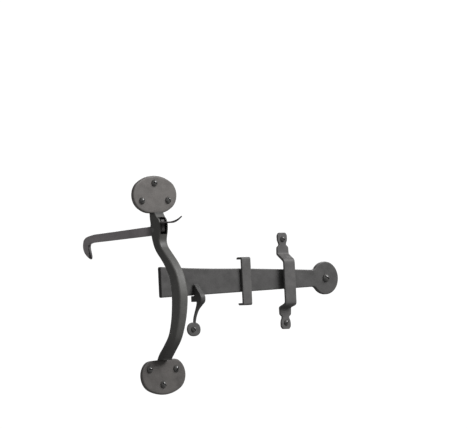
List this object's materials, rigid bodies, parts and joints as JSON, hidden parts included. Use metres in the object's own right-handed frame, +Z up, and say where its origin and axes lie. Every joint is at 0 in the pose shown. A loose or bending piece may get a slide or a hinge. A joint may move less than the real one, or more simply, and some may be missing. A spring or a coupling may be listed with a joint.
{
  "type": "thumb latch",
  "caption": "Forged thumb latch set: bow handle on two oval plates with a thumb lever, tapered pivoting latch bar, bar guide, staple and catch.",
  "frame": {"origin": "centre of the upper bean plate's back face, on the plane of the door", "axes": "+X along the latch bar towards its penny end, +Y into the door, +Z up"},
  "size_m": [0.2739, 0.1627, 0.2284],
  "materials": {
    "plate_iron": "satin black, hammered",
    "grip_iron": "satin black, drawn out under the hammer",
    "lever_iron": "satin black",
    "bar_iron": "satin black, hammered",
    "fitting_iron": "satin black, hammered",
    "screw_steel": "blackened, semi-gloss"
  },
  "bodies": {
    "fixed": {"upper_bean_plate": "plate_iron", "lower_bean_plate": "plate_iron", "handle_grip": "grip_iron", "screw_upper_top": "screw_steel", "screw_upper_left": "screw_steel", "screw_upper_right": "screw_steel", "screw_lower_left": "screw_steel", "screw_lower_right": "screw_steel", "screw_lower_bottom": "screw_steel", "lever_pivot_pin": "screw_steel", "bar_pivot_screw": "screw_steel", "bar_washer": "screw_steel", "bar_guide": "fitting_iron", "screw_guide_top": "screw_steel", "screw_guide_bottom": "screw_steel", "drive_in_staple": "fitting_iron", "catch": "fitting_iron", "screw_catch": "screw_steel"},
    "thumb_lever": {"lever_bar": "lever_iron", "thumb_press": "lever_iron"},
    "bar": {"latch_bar": "bar_iron"}
  },
  "joints": [
    {"name": "lever_tilt", "type": "hinge", "parent": "fixed", "child": "thumb_lever", "pos_m": [0, -0.0045, -0.0365], "axis": [1, 0, 0], "range_deg": [0, 15]},
    {"name": "bar_lift", "type": "hinge", "parent": "fixed", "child": "bar", "pos_m": [0.2271, 0, -0.0914], "axis": [0, 1, 0], "range_deg": [0, 4.4]}
  ]
}
